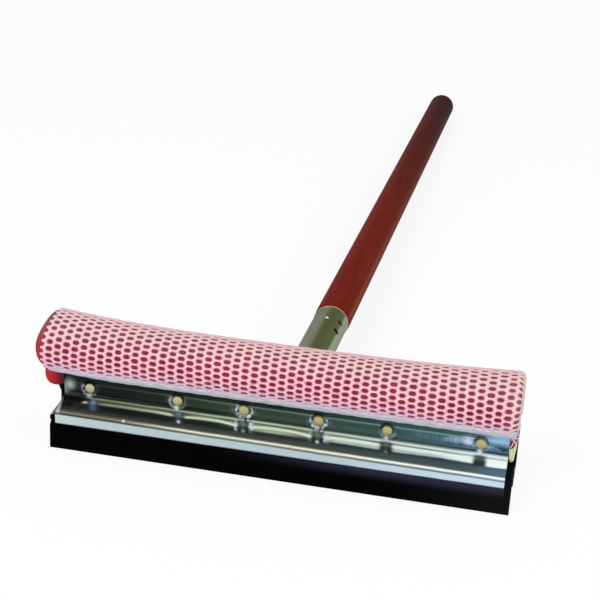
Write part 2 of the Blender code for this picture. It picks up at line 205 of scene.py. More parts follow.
class Finish(Nodes):
    """A material. Its patterns read the place on the object, in metres, and the colours
    that it mixes are terms or 8-bit screen colours."""

    def __init__(self, name, **fixed):
        self.material = bpy.data.materials.new(name)
        self.material.use_nodes = True
        super().__init__(self.material.node_tree)
        self.shader = self.tree.nodes["Principled BSDF"]
        for socket, value in fixed.items():
            self.set(socket.replace("_", " "), value)

    def set(self, socket, value):
        self.feed(self.shader.inputs[socket], value)

    def place(self, axis, kind="Object"):
        """The place on the object, or its normal, along X, Y or Z: 0, 1 or 2."""
        return self.node("SeparateXYZ", {"Vector": self.node("TexCoord", {}, kind)}, axis)

    def spot(self, scale, turn=(0.0, 0.0, 0.0)):
        """The place on the object, scaled by one number or by three, and turned."""
        here = self.node("TexCoord", {}, "Object")
        scale = np.broadcast_to(scale, 3).tolist()
        return self.node("Mapping", {"Vector": here, "Scale": scale, "Rotation": turn})

    def layer(self, name):
        """A number that the mesh keeps at each vertex."""
        return self.node("Attribute", {}, "Fac", attribute_name=name)

    def turned(self):
        """The turn round the sloping handle, from its top towards +X."""
        up = self.place(2) - self.place(1) * float(np.tan(axis_slope)) - axis_height
        return self.place(0).math("ARCTAN2", up)

    def noise(self, scale, detail=3.0, roughness=0.5, turn=(0.0, 0.0, 0.0)):
        """Clouds of 0 to 1 on the scaled and turned object."""
        sizes = {"Scale": 1.0, "Detail": detail, "Roughness": roughness}
        return self.node("TexNoise", {"Vector": self.spot(scale, turn), **sizes})

    def pores(self, scale):
        """The distance to the nearest of many scattered points, as in the cells of foam."""
        return self.node("TexVoronoi", {"Vector": self.spot(scale), "Scale": 1.0})

    def mix(self, low, high, share):
        """Colour from low to high as share goes from 0 to 1."""
        low, high = (part if isinstance(part, Term) else shade(*part) for part in (low, high))
        return self.node("Mix", {0: share, 6: low, 7: high}, 2, data_type="RGBA")

    def coats(self, colour, *layers):
        """A colour under others, laid one after the other, each with its share."""
        for coat, share in layers:
            colour = self.mix(colour, coat, share)
        return colour

    def lean(self, way, share):
        """The surface's normal, turned towards a way of the object where share is 1, as in
        the small hollows of a pressed sheet that catch the light."""
        settings = {"vector_type": "NORMAL", "convert_from": "OBJECT", "convert_to": "WORLD"}
        way = self.node("VectorTransform", {0: way}, **settings)
        normal = self.node("NewGeometry", {}, "Normal")
        both = self.node("Mix", {0: share, 4: normal, 5: way}, 1, data_type="VECTOR")
        return self.node("VectorMath", {0: both}, operation="NORMALIZE")

    def bump(self, height, depth, strength=1.0, normal=None):
        """Small relief; the height runs from 0 to 1 and depth is its size in metres."""
        sizes = {"Height": height, "Distance": depth, "Strength": strength}
        if normal:
            sizes["Normal"] = normal
        self.set("Normal", self.node("Bump", sizes))


def together(x, y, z):
    """Coordinates as one array of points."""
    return np.stack(np.broadcast_arrays(x, y, z), -1)


def ramp(value):
    """A value kept within 0 and 1."""
    return np.clip(value, 0, 1)


def smooth(share):
    """A smooth step, 3 * share ** 2 - 2 * share ** 3, of a share kept within 0 and 1."""
    share = ramp(share)
    return share * share * (3 - 2 * share)


def full_turn(steps):
    """Evenly spaced turns round a section, as a row."""
    return np.arange(steps)[None] * tau / steps


def shut_ends(points):
    """The first and last section of a grid of points drawn into their middles."""
    points[[0, -1]] = points[[0, -1]].mean(axis=1, keepdims=True)
    return points


def placed(name, data):
    """A new object in the scene."""
    made = bpy.data.objects.new(name, data)
    bpy.context.scene.collection.objects.link(made)
    return made


def piece(name, points, faces, finish, layers=None, sharp=40.0, solid=True):
    """Puts points and faces into an object that rides on the tool.
    Doubles become one vertex, and a closed body's faces are turned outwards."""
    mesh = bpy.data.meshes.new(name)
    mesh.from_pydata(np.reshape(points, (-1, 3)), [], faces)
    for layer, values in (layers or {}).items():
        data = mesh.attributes.new(layer, "FLOAT", "POINT").data
        data.foreach_set("value", np.ravel(values).astype(np.float32))
    shape = bmesh.new()
    shape.from_mesh(mesh)
    bmesh.ops.remove_doubles(shape, verts=shape.verts, dist=0.004 * mm)
    if solid:
        bmesh.ops.recalc_face_normals(shape, faces=shape.faces)
    shape.to_mesh(mesh)
    shape.free()
    mesh.shade_smooth()
    mesh.set_sharp_from_angle(angle=np.radians(sharp))
    mesh.materials.append(finish.material)
    made = placed(name, mesh)
    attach(made, "root")
    return made


def quads(index, closed):
    """Four-sided faces between the rows of grids of vertex numbers; closed joins each
    grid's last column to its first."""
    side = np.roll(index, -1, axis=-1) if closed else index[..., 1:]
    here = index if closed else index[..., :-1]
    corners = here[..., :-1, :], side[..., :-1, :], side[..., 1:, :], here[..., 1:, :]
    return np.stack(corners, -1).reshape(-1, 4).tolist()


def grid_faces(rows, steps, closed):
    """The faces of one grid of points."""
    return quads(np.arange(rows * steps).reshape(rows, steps), closed)


def path(corners, step=0.8 * mm):
    """The path through (y, z, radius) corners. A corner becomes an arc, centre + radius
    * (cos, sin) of an evenly growing angle, and straight runs are shares of their ends."""
    spots = [np.array(corners[0][:2])]
    for before, corner, after in zip(corners, corners[1:], corners[2:]):
        here = np.array(corner[:2])
        back = np.subtract(before[:2], here)
        on = np.subtract(after[:2], here)
        back, on = back / np.linalg.norm(back), on / np.linalg.norm(on)
        half = np.arccos(np.clip(back @ on, -1, 1)) / 2
        centre = here + (back + on) / np.linalg.norm(back + on) * corner[2] / np.sin(half)
        ends = [here + way * corner[2] / np.tan(half) - centre for way in (back, on)]
        first, last = (np.arctan2(end[1], end[0]) for end in ends)
        last = first + (last - first + np.pi) % tau - np.pi
        turns = np.linspace(first, last, 9)
        spots.append(centre + corner[2] * np.stack([np.cos(turns), np.sin(turns)], -1))
    spots.append(np.array(corners[-1][:2]))
    spots = np.vstack(spots)
    runs = []
    for start, end in zip(spots, spots[1:]):
        count = max(1, round(np.linalg.norm(end - start) / step))
        runs.append(start + np.arange(count)[:, None] / count * (end - start))
    return np.vstack([*runs, spots[-1:]])


def finished(made, thickness, edge):
    """Gives a sheet its gauge behind its path and rounds its cut edges a little."""
    wall = made.modifiers.new("gauge", "SOLIDIFY")
    wall.thickness = thickness
    wall.offset = -1
    wall.use_even_offset = True
    round_off = made.modifiers.new("cut edges", "BEVEL")
    round_off.width = edge
    round_off.segments = 2
    round_off.limit_method = "ANGLE"
    round_off.angle_limit = np.radians(60)
    round_off.harden_normals = True
    return made


def plate_stations(half):
    """Places along a plate, close together at the rivets' seats."""
    around = np.linspace(-5.6, 5.6, 33) * mm
    fine = (rivet_places[:, None] + around).ravel()
    wide = np.linspace(-half, half, 90)
    gap = np.abs(wide[:, None] - rivet_places).min(axis=1)
    return np.sort(np.concatenate([fine, wide[gap > 6 * mm]]))


def rivet_glints(x, off, run):
    """The painted highlights and reflections that the rivets put on the plate's shine, in mm,
    each fading as exp(-(off / width) ** 2) and as strong as its rivet's share: a bright ring
    4.4 mm round the head, a bright drop under it on the crease, and in the shelf the rivet's
    painted reflection, a bar that leans towards +X, with a core, a bright rim 4.3 mm off and a
    gleam at its foot. Near a rivet the painted light on the shelf sags and the painted line at
    the crease has a dark gap."""
    nearest = np.abs(x[:, None] - rivet_places).argmin(axis=1)[:, None]

    def share(*parts):
        return np.array(parts)[nearest]

    def sides(left, right):
        return np.where(off < 0, share(*left), share(*right))

    def window(low, high, fade=1.2):
        return ramp((run - low) / fade) * ramp((high - run) / fade)

    def mound(distance, width, power=2):
        return np.exp(-((np.abs(distance) / width) ** power))

    lean = off - (22 - run) * (0.21 - x[:, None] / (690 * mm)) - share(1.7, 0.8, 0, 0, 0, 0)
    image = window(11.6, 21.9)
    ring_sides = sides((0.36, 0.5, 1.0, 0.8, 0.12, 0.0), (0.1, 0.16, 1.0, 0.9, 0.12, 0.1))
    rim_sides = sides((0, 0, 0.9, 0.3, 0, 0), (0, 0, 1.0, 1.0, 0, 0))
    sag_sides = sides((0.2, 0.4, 1.0, 1.0, 0.3, 0), (0.3, 0.9, 1.0, 0.5, 0, 0))
    return {
        "ring": mound(np.hypot(off, run - 27.8) - 4.4, 0.8) * ring_sides * window(22.8, 31.0),
        "drop": mound(off + 0.4, 1.3) * mound(run - 23.3, 1.1) * share(0.5, 0.9, 0.1, 0.4, 0.7, 1.0),
        "bar": mound(lean, 3.5, 4) * image,
        "core": mound(lean, 1.7, 4) * image * share(1.0, 0.7, 1.0, 1.0, 0.8, 0.5),
        "rim": mound(np.abs(lean) - 4.3, 0.9) * image * rim_sides,
        "gleam": mound(lean, 0.9) * mound(run - 12.7, 0.9) * share(0, 1.0, 0.5, 1.0, 0.3, 0),
        "sag": mound(off, 9.0) * sag_sides,
        "gap": mound(off, 4.2, 4) * window(20.0, 25.0) * share(0.3, 0.3, 1.0, 1.0, 0.1, 0.0),
    }


def pressed_sheet(
    name, corners, half, finish, thickness, seats=0.0, edge=0.12 * mm, trim=None
):
    """A sheet along X. A point is (x, y, z) of its path, and a rivet's seat moves it back
    by seats * smooth step of (seat radius - distance) / (seat radius - floor radius). Trim
    gives (path length, inset) of its left end, which shifts the points past the trim's start."""
    line = path(corners)
    run = np.concatenate([[0], np.cumsum(np.linalg.norm(np.diff(line, axis=0), axis=1))])
    stations = plate_stations(half)
    x = stations[:, None]
    y, z = line[:, 0][None], line[:, 1][None]
    off = x - rivet_places[np.abs(x - rivet_places).argmin(axis=1)][:, None]
    away = np.hypot(off, z - rivet_height)
    press = smooth((seat_radius - away) / (seat_radius - seat_floor_radius))
    y = y + seats * press * (z > crease_height + 1.2 * mm)
    if trim is not None:
        inset = np.interp(run, *trim.T)
        x = x + inset * ramp((trim_start - x) / (half + trim_start))
    # the rivets' painted highlights and reflections, kept as layers for the plate's colour
    layers = rivet_glints(stations, off / mm, run / mm) if seats else {}
    layers["run"] = run / mm
    layers = {layer: np.broadcast_to(values, y.shape) for layer, values in layers.items()}
    faces = np.array(grid_faces(*y.shape, False))[:, ::-1].tolist()
    made = piece(name, together(x, y, z), faces, finish, layers, 60, False)
    return finished(made, thickness, edge)


def on_axis(radius, turn, along):
    """A point round the sloping handle: along its axis, turned from its top towards +X."""
    sine, cosine = np.sin(axis_slope), np.cos(axis_slope)
    up = radius * np.cos(turn)
    y = along * cosine - up * sine
    z = axis_height + along * sine + up * cosine
    return together(radius * np.sin(turn), y, z)


def lathe(name, profile, steps, place, finish, sharp=40.0):
    """A body turned from (radius, along) points; place puts (radius, turn, along) in space."""
    radius, along = np.array(profile).T[:, :, None]
    faces = grid_faces(len(profile), steps, True)
    points = place(radius, full_turn(steps), along)
    return piece(name, points, faces, finish, None, sharp)


def roll_skin(x, angle, grow, share=1.0):
    """The roll's skin: a circle about a centre that rises by the swell, with radius
    radius + swell + 1 mm * exp(-(turn from the mouth / 28 degrees) ** 2) + grow. Its left
    end is tucked in by 2.3 mm below its front, and leans inward by 3.2 mm at its top."""
    half = (roll_right - roll_left) / 2
    reach = (x - (roll_right + roll_left) / 2) / half
    swell = np.where(reach < 0, left_swell, right_swell) * np.abs(reach) ** 3
    off = (angle - mouth_turn + np.pi) % tau - np.pi
    drop = 1.0 * mm * np.exp(-((off / np.radians(28)) ** 2))
    corner = ramp((-x - 90 * mm) / (42 * mm)) ** 1.2
    drop = drop - 2.3 * mm * corner * np.exp(-(((off + np.radians(41)) / np.radians(42)) ** 2))
    radius = (roll_radius + swell + drop + grow) * share
    y = roll_centre[0] + radius * np.cos(angle)
    z = roll_centre[1] + swell + radius * np.sin(angle)
    upper = ramp(np.sin(angle)) ** 2
    x = x + 3.2 * mm * upper * ramp((-x - 105 * mm) / (31 * mm)) ** 2
    return together(x, y, z)


def round_ends(x, angle, height):
    """A point over the roll by its run along it. Past the start of an end's rounding, of
    radius r, it turns by run / r: x = start + (r + height) * sin, grow = (r + height) * cos - r."""
    left = x < 0
    r = np.where(left, left_round, right_round)
    start = np.where(left, roll_left + left_round, roll_right - right_round)
    past = np.maximum(np.abs(x) - np.abs(start), 0)
    middle_r = r + 0.5 * mm
    turn = np.minimum(past / middle_r, np.pi / 2)
    inward = np.maximum(past - middle_r * np.pi / 2, 0)
    side = np.where(left, -1, 1)
    there = np.where(past > 0, start + side * (r + height) * np.sin(turn), x)
    grow = (r + height) * np.cos(turn) - r - inward
    return roll_skin(there, angle, np.where(past > 0, grow, height))


def wander(x, turn):
    """The net's uneven stretch: slow waves along and round the roll, in metres and radians."""
    along = 0.35 * np.sin(x * 55 + 1.3 * turn) + 0.22 * np.sin(x * 131 - 2.1 * turn + 1)
    round_it = 0.012 * np.sin(x * 38 + 0.7) + 0.007 * np.sin(x * 97 + 1.9 * turn)
    return along * mm, round_it


def end_tuck(x, turn):
    """How far the net's cut left end is drawn in: by 1.4 mm in front and by 3.3 mm over the
    top, fading out with the square of the distance over 50 mm."""
    over = ramp((-turn - 3.1) / 1.5)
    return (1.4 + 1.9 * over) * mm * ramp((-x - 83 * mm) / (50 * mm)) ** 2


def net_spot(across, rows, height):
    """A point of the net: across in thirds of a column, rows in half rows from the front edge."""
    x = net_left + across * net_third
    turn = net_start + rows * net_half_row
    slide, lean = wander(x, turn)
    edge = ramp(np.minimum(x - net_left, net_right - x) / (6 * mm))
    return round_ends(x + slide * edge + end_tuck(x, turn), turn + lean, height)


def net_cells(columns, ring, hole_sizes):
    """Rings of points of the cells in these columns. A ring's point goes from the cell's
    outline to its hole's edge, an oval (1.04 * cos ** 0.8, 0.58 * sin ** 0.8), by a share, and
    its height falls from the crest to the foam. Holes past the front rows are a little longer
    and lower."""
    grid = np.meshgrid(columns, np.arange(net_rows), indexing="ij")
    column, row = (part.ravel() for part in grid)
    outline = np.array(ring, float)
    way = np.arctan2(outline[:, 1], outline[:, 0] / 2)
    wave = np.stack([np.cos(way), np.sin(way)], -1)
    hole = np.array([1.04, 0.58]) * np.sign(wave) * np.abs(wave) ** 0.8
    shares = np.array([0.0, 0.5, 1.0, 0.8, 0.0])
    heights = np.array([1.0, 0.88, 0.45, 0.03, 0.0]) * strand_height
    size = hole_sizes[column, row][:, None, None, None]
    step = shares[None, :, None, None]
    upper = ramp((row - 4) / 5)
    stretch = np.stack([1 + 0.06 * upper, 1 - 0.2 * upper], -1)[:, None, None]
    spots = outline * (1 - step) + hole * size * stretch * step
    across = 3 * column[:, None, None] + spots[..., 0]
    rows = (2 * row + 1 + column % 2)[:, None, None] + spots[..., 1]
    lift = np.broadcast_to(heights[None, :, None], across.shape) + 0.1 * mm
    return net_spot(across, rows, lift), np.broadcast_to(shares[None, :, None], across.shape)


def net_weave(finish):
    """The knitted net: six-sided cells, each a rounded ring of strand about its hole.
    At both cut ends half cells leave a comb of strand stubs, whose cut faces are closed."""
    ring = [(0, -1), (0.5, -1), (1, -1), (1.5, -0.5), (2, 0), (1.5, 0.5), (1, 1), (0.5, 1)]
    ring += [(-across, -along) for across, along in ring]
    sizes = np.random.default_rng(7).normal(1.0, 0.045, (net_columns + 1, net_rows))
    groups = (
        (np.arange(1, net_columns), ring, True),
        (np.array([0]), ring[:9], False),
        (np.array([net_columns]), [*ring[8:], ring[0]], False),
    )
    points, layers, faces, walls, start = [], [], [], [], 0
    for columns, outline, closed in groups:
        spots, across = net_cells(columns, outline, sizes)
        index = start + np.arange(across.size).reshape(across.shape)
        faces += quads(index, closed)
        walls += quads(index[:, [-1, 0]], closed)
        if not closed:
            faces += index[:, :, 0].tolist() + index[:, ::-1, -1].tolist()
        points.append(spots.reshape(-1, 3))
        layers.append(across.ravel())
        start += index.size
    points = np.vstack(points)
    walls = np.array(walls)
    middles = np.round(points[walls[:, 2:]].mean(axis=1) / (0.01 * mm)).astype(np.int64)
    _, first, uses = np.unique(middles, axis=0, return_index=True, return_counts=True)
    faces += walls[first[uses == 1]].tolist()
    across = {"across": np.concatenate(layers)}
    return piece("net_weave", points, faces, finish, across, 75)


def foam_grow(x, angle):
    """How far the foam swells into the net's holes: a soft pillow in each cell,
    0.28 mm * exp(-((across / 1.5) ** 2 + (along / 0.75) ** 2)) in the cell's units. The
    net's tuck is undone first, in three rounds that close in on the place before it."""
    turn = net_start - (net_start - angle) % tau
    untucked = x
    for _ in range(3):
        untucked = x - end_tuck(untucked, turn)
    slide, lean = wander(untucked, turn)
    across = (untucked - slide - net_left) / net_third
    rows = (turn - lean - net_start) / net_half_row
    swell = np.zeros(np.broadcast(x, angle).shape)
    for odd in (0, 1):
        column = np.round((across / 3 - odd) / 2) * 2 + odd
        off = across - 3 * column
        along = (rows - 1 - odd) / 2
        along = (along - np.round(along)) * 2
        swell = np.maximum(swell, np.exp(-((off / 1.5) ** 2) - (along / 0.75) ** 2))
    covered = (untucked > net_left) * (x < net_right) * (turn > net_stop)
    return 0.28 * mm * swell * covered


def foam_roll(finish):
    """The sponge roll: its skin on a grid of places along and turns round it, pillowed
    by the net. Its ends are rounded, by length * (1 - sin) along and length * (1 - cos)
    inward, and close on the middle in a shallow dome, depth * (1 - share ** 2)."""
    turns = np.linspace(0, np.pi / 2, 12)
    along, inward = 1 - np.sin(turns), 1 - np.cos(turns)
    caps = np.linspace(1, 0, 12)[1:]
    dome = 1 - caps**2
    left = (roll_left + left_round * along)[::-1]
    right = roll_right - right_round * along
    middle = np.linspace(left[-1], right[0], 420)[1:-1]
    x = np.concatenate([
        (roll_left - 1.0 * mm * dome)[::-1], left, middle, right, roll_right + 0.6 * mm * dome
    ])
    inset = np.concatenate([
        np.full(len(caps), left_round), left_round * inward[::-1], 0 * middle,
        right_round * inward, np.full(len(caps), right_round),
    ])
    share = np.concatenate([caps[::-1], np.ones(len(x) - 2 * len(caps)), caps])
    angle = full_turn(216)
    x, inset, share = x[:, None], inset[:, None], share[:, None]
    points = roll_skin(x, angle, foam_grow(x, angle) - inset - 0.1 * mm, share)
    return piece("foam_roll", points, grid_faces(*points.shape[:2], True), finish)


def foam_tail(finish):
    """The foam's flap: thin where the plates clamp it, and bulging in a lobe past each end
    of theirs. A section is y = middle + depth * |cos| ** power, z = height + half * |sin| **
    power, whose depth, half height and power go smoothly from the flap's to the lobe's."""
    x = np.concatenate([
        np.linspace(-138.0, -125.4, 64), np.linspace(-124, 122, 42), np.linspace(123.4, 131.0, 44)
    ]) * mm
    near = np.zeros_like(x)
    for lobe_middle, lobe_half in ((-131.5, 6.5), (127.0, 4.0)):
        reach = ramp(1 - np.abs((x / mm - lobe_middle) / lobe_half) ** 2.6)
        near = np.maximum(near, reach**0.45)
    ends = np.sqrt(ramp((131.0 * mm - x) / (1.5 * mm)))

    def past(low, high):
        return smooth((np.abs(x) / mm - low) / (high - low))

    clamp = tail_gauge / 2
    front = clamp + (near * 9.4 * mm - clamp) * past(127.02, 127.5)
    back = clamp + (near * 4.6 * mm - clamp) * past(131.55, 132.4)
    grown = past(122.5, 126.8)
    half = 12.4 * mm * (1 - grown) + np.maximum(near, 0.6) * 9.2 * mm * grown
    height = 35.4 * mm * (1 - grown) + lobe_height * grown
    power = (0.3 * (1 - grown) + 1.0 * grown)[:, None]
    angle = full_turn(48)
    cosine, sine = np.cos(angle), np.sin(angle)
    depth = np.where(cosine < 0, front[:, None], back[:, None])
    y = tail_middle + depth * np.sign(cosine) * np.abs(cosine) ** power * ends[:, None]
    z = height[:, None] + half[:, None] * np.sign(sine) * np.abs(sine) ** power
    points = shut_ends(together(x[:, None], y, z))
    return piece("foam_tail", points, grid_faces(*points.shape[:2], True), finish)


def net_selvage(name, edge, leave, side, finish):
    """The net's plain hem: from under the first holes it follows the roll's skin round to
    where it leaves it, and is drawn down into the clamp beside the flap. Its creases are
    0.1 mm * sin(along * 620), fading towards both edges."""
    waves = 620
    x = np.linspace(-128.6 * mm, 130.2 * mm, 180)[:, None]
    round_it = np.linspace(edge, leave, 24)[None]
    share = np.linspace(0, 1, 24)[None]
    lift = (0.3 + 0.75 * np.minimum(1, share / 0.1)) * mm
    crease = 0.1 * mm * np.sin(x * waves + 9 * share) * np.sin(np.pi * share)
    hem = roll_skin(x, round_it, lift + crease)
    down = np.linspace(0, 1, 16)[None, 1:]
    last = hem[:, -1:]
    into = tail_middle + side * 1.25 * mm
    y = last[..., 1] + (into - last[..., 1]) * np.sin(down * np.pi / 2)
    z = last[..., 2] + (34 * mm - last[..., 2]) * down**1.3
    y = y + 0.12 * mm * np.sin(x * waves) * down * (1 - down)
    points = np.concatenate([hem, together(x, y, z)], 1)
    faces = grid_faces(*points.shape[:2], False)
    made = piece(name, points, faces, finish, None, 60, False)
    wall = made.modifiers.new("thickness", "SOLIDIFY")
    wall.thickness = 0.4 * mm
    wall.offset = 0
    return made


def strand_tubes(name, routes, radius, finish):
    """Round strands: each route's points carried by a small circle, its ends drawn in."""
    points, faces, start = [], [], 0
    steps = 10
    turns = full_turn(steps).T
    for route in routes:
        way = np.gradient(route, axis=0)
        way /= np.linalg.norm(way, axis=1)[:, None]
        side = np.cross(way, (0.3, 0.2, 1.0))
        side /= np.linalg.norm(side, axis=1)[:, None]
        up = np.cross(way, side)
        size = radius * np.sqrt(ramp(np.sin(np.linspace(0, np.pi, len(route))) * 4))
        ring = side[:, None] * np.cos(turns) + up[:, None] * np.sin(turns)
        spots = route[:, None] + ring * size[:, None, None]
        index = start + np.arange(len(route) * steps).reshape(-1, steps)
        faces += quads(index, True)
        points.append(spots.reshape(-1, 3))
        start += index.size
    return piece(name, np.vstack(points), faces, finish)


def lobe_strands(finish):
    """Net strands that run slanting over the foam's right lobe, three one way and two the
    other: a point is on its oval, y = middle - depth * cos, z = height + half * sin."""
    steps = np.linspace(0, 1, 26)
    slants = [(4.0, 62 - 62 * (steps + lead)) for lead in np.linspace(-0.1, 0.7, 3)]
    slants += [(3.6, -40 + 78 * (steps * 0.9 + lead * 0.6)) for lead in np.linspace(0.0, 0.8, 2)]
    routes = []
    for length, degrees in slants:
        x = (127.5 + length * steps) * mm
        turn = np.radians(degrees)
        reach = np.sqrt(np.clip(1 - ((x / mm - 127) / 4.6) ** 2, 0.05, 1))
        y = tail_middle - 9.6 * mm * reach * np.cos(turn)
        z = lobe_height + 9.4 * mm * reach * np.sin(turn)
        routes.append(together(x, y, z))
    return strand_tubes("lobe_strands", routes, 0.38 * mm, finish)


def gathered_net(finish):
    """The net's loose corner, bunched beside the plates: an oval section, 3.6 mm wide and
    narrowing to 2.4 mm, with lengthwise folds of 0.16 * cos(7 * turn), carried down from
    the lobe to the shelf."""
    rows, steps = 30, 56
    down = np.linspace(0, 1, rows)[:, None]
    turn = full_turn(steps)
    taper = np.sqrt(ramp(np.sin(np.pi * (0.03 + 0.94 * down)) * 2.2))
    fold = 1 + 0.16 * np.cos(7 * turn + 2.5 * down) + 0.05 * np.sin(11 * turn - 9 * down)
    x = (129.1 - 0.5 * down) * mm + (1.8 - 0.6 * down) * mm * np.cos(turn) * fold * taper
    y = (12.9 + 1.4 * down) * mm + 1.0 * mm * np.sin(turn) * fold * taper
    z = (38.5 - 14.2 * down) * mm
    points = shut_ends(together(x, y, z))
    return piece("gathered_net", points, grid_faces(rows, steps, True), finish)


def arc(start, end, centre, size, steps=8):
    """Points at centre + size * (cos, sin) from one angle to another, in degrees."""
    turn = np.radians(np.linspace(start, end, steps))
    across, along = centre[0] + size * np.cos(turn), centre[1] + size * np.sin(turn)
    return list(zip(across, along))


def set_rivet(number, x, finish):
    """A rivet turned about -Y: a low domed head, a shank and a rolled, bored tail."""
    at_socket = abs(x) < 25 * mm
    behind = (21.7 if at_socket else 20.2) * mm
    seat = -flange_front - seat_depth + 0.05 * mm
    tail = -behind - 0.05 * mm
    head_radius, shank_radius, bore_radius = 2.8 * mm, 1.6 * mm, 0.9 * mm
    bore_end = tail + 1.6 * mm
    dome = np.linspace(0, np.pi / 2, 10)
    rise = seat + 0.35 * mm + 0.75 * mm * np.cos(dome)
    profile = list(zip(head_radius * np.sin(dome) ** 0.9, rise))
    profile += arc(0, -90, (head_radius - 0.1 * mm, seat + 0.1 * mm), 0.1 * mm, 4)
    profile += [(shank_radius, seat), (shank_radius, tail)]
    profile += arc(90, -90, (2.05 * mm, tail - 0.45 * mm), 0.45 * mm, 10)
    profile += [(1.0 * mm, tail - 0.5 * mm), (bore_radius, bore_end), (0, bore_end)]

    def place(radius, turn, along):
        return together(x + radius * np.cos(turn), -along, rivet_height + radius * np.sin(turn))

    return lathe(f"set_rivet_{number}", profile, 40, place, finish, 50)


def socket_radius(along):
    """The socket's outer radius, which grows by 0.2 mm from its root to its mouth."""
    return 11.0 * mm + 0.2 * mm * along / socket_mouth


def socket_flange(finish, root):
    """The socket's oval flange: two half circles of 13 mm, 17 mm to each side of the middle,
    stepped in layer by layer where its edges are rounded."""
    turn = np.linspace(-np.pi / 2, np.pi / 2, 40)
    half = 17.0 * mm
    inset = np.array([0.35, 0.1, 0.0, 0.0, 0.1, 0.35]) * mm
    depth = np.array([20.5, 20.6, 20.85, 21.35, 21.6, 21.7]) * mm
    size = 13 * mm - inset[:, None]
    x = np.hstack([half + size * np.cos(turn), -half - size * np.cos(turn)])
    height = axis_height + root * np.tan(axis_slope)
    z = height + np.hstack([size * np.sin(turn), -size * np.sin(turn)])
    layers, steps = x.shape
    index = np.arange(layers * steps).reshape(layers, steps)
    faces = quads(index, True) + [index[0, ::-1].tolist(), index[-1].tolist()]
    points = together(x, depth[:, None], z)
    return piece("socket_flange", points, faces, finish, None, 35)


def slit_cutter(number, along, finish):
    """A block of 4.2 x 3.2 mm across the socket's wall, 52 degrees from its top."""
    across = np.array([-1, 1, 1, -1]) * 2.1 * mm / socket_radius(along)
    length = np.array([-1, -1, 1, 1]) * 1.6 * mm
    radii = np.array([9.0, 13.0])[:, None] * mm
    ends = on_axis(radii, np.radians(52) + across, along + length)
    sides = grid_faces(2, 4, True) + [[0, 1, 2, 3], [7, 6, 5, 4]]
    return piece(f"slit_{number}", ends, sides, finish)


def rolled_socket(finish):
    """The socket: a tapered tube with a lipped mouth, joined to an oval flange by a fillet,
    then bored and pierced by two slits and the nail's hole."""
    root = 21.1 * mm
    fillet = 2.6 * mm
    wall = 0.9 * mm
    neck = root + fillet
    lip = socket_radius(socket_mouth)
    turn = np.radians(np.linspace(0, 90, 10))
    run = np.linspace(neck, socket_mouth - 2.4 * mm, 40)[1:]
    profile = [(0, root)]
    profile += list(zip(socket_radius(neck) + fillet * (1 - np.sin(turn)), neck - fillet * np.cos(turn)))
    profile += list(zip(socket_radius(run), run))
    profile += [(lip + 0.10 * mm, socket_mouth - 1.6 * mm)]
    profile += arc(-80, 90, (lip - 0.08 * mm, socket_mouth - 0.5 * mm), 0.45 * mm, 10)
    profile += [(0, socket_mouth - 0.05 * mm)]
    tube = lathe("rolled_socket", profile, 112, on_axis, finish, 35)
    flange = socket_flange(finish, root)

    bore_start, bore_end = 12 * mm, socket_mouth + 5 * mm
    bore = [(0, bore_start), (socket_radius(0) - wall, bore_start), (lip - wall, bore_end), (0, bore_end)]
    cutters = [lathe("bore", bore, 112, on_axis, finish)]
    for number, along in enumerate((128.5 * mm, 142.2 * mm)):
        cutters.append(slit_cutter(number, along, finish))
    cutters.append(nail_body("nail_bore", 1.1 * mm, 1.1 * mm, finish))
    for operation, others in (("UNION", [flange]), ("DIFFERENCE", cutters)):
        for other in others:
            cut = tube.modifiers.new(other.name, "BOOLEAN")
            cut.operation = operation
            cut.solver = "EXACT"
            cut.object = other
    settle(tube, 35)
    for other in (flange, *cutters):
        bpy.data.objects.remove(other)
    return tube


def settle(made, sharp):
    """Takes a piece's modifiers into its mesh."""
    graph = bpy.context.evaluated_depsgraph_get()
    mesh = bpy.data.meshes.new_from_object(made.evaluated_get(graph))
    made.modifiers.clear()
    made.data = mesh
    mesh.shade_smooth()
    mesh.set_sharp_from_angle(angle=np.radians(sharp))


def nail_body(name, shank, head, finish):
    """A nail or its hole, turned about the line out of the socket 4 degrees from its top."""
    foot = on_axis(socket_radius(nail_along), nail_turn, nail_along)
    out = on_axis(1.0, nail_turn, 0.0) - on_axis(0.0, 0.0, 0.0)
    side = np.cross(out, (1.0, 0.0, 0.0))
    side /= np.linalg.norm(side)
    other = np.cross(out, side)
    profile = [(0, 3 * mm), (shank, 3 * mm)]
    if head > shank:
        dome = 0.75 * mm
        profile = [(0, 1.05 * mm), *arc(75, 0, (head - dome, 0.2 * mm), dome, 8)]
        profile += [(head - 0.05 * mm, 0.0)]
    profile += [(shank, 0.0), (shank, -6.5 * mm), (0, -8.4 * mm)]

    def place(radius, turn, along):
        round_it = np.cos(turn)[..., None] * side + np.sin(turn)[..., None] * other
        return foot + radius[..., None] * round_it + along[..., None] * out

    return lathe(name, profile, 28, place, finish, 50)


def turned_handle(finish):
    """The dowel: tenon, sloping shoulder, shaft and a rounded far end."""
    tenon = socket_radius(110 * mm) - 1.2 * mm
    tenon_end = 70 * mm
    far_round = 6 * mm
    slope = np.linspace(0, 1, 8)
    shoulder = handle_radius - 1.15 * mm * (1 - slope) ** 1.4
    run = np.linspace(socket_mouth + 9 * mm, handle_end - far_round - 0.3 * mm, 150)
    profile = [(0, tenon_end), (tenon - 0.5 * mm, tenon_end), (tenon, tenon_end + 0.6 * mm)]
    profile += [(tenon, socket_mouth + 0.2 * mm)]
    profile += [(handle_radius - 1.5 * mm, socket_mouth + 0.3 * mm)]
    profile += [(handle_radius - 1.25 * mm, socket_mouth + 0.9 * mm)]
    profile += list(zip(shoulder, socket_mouth + (1.5 + 5 * slope) * mm))
    profile += [(handle_radius, along) for along in run]
    profile += arc(0, 90, (handle_radius - far_round, handle_end - far_round), far_round, 14)
    profile += [(0, handle_end)]
    return lathe("turned_handle", profile, 96, on_axis, finish, 50)


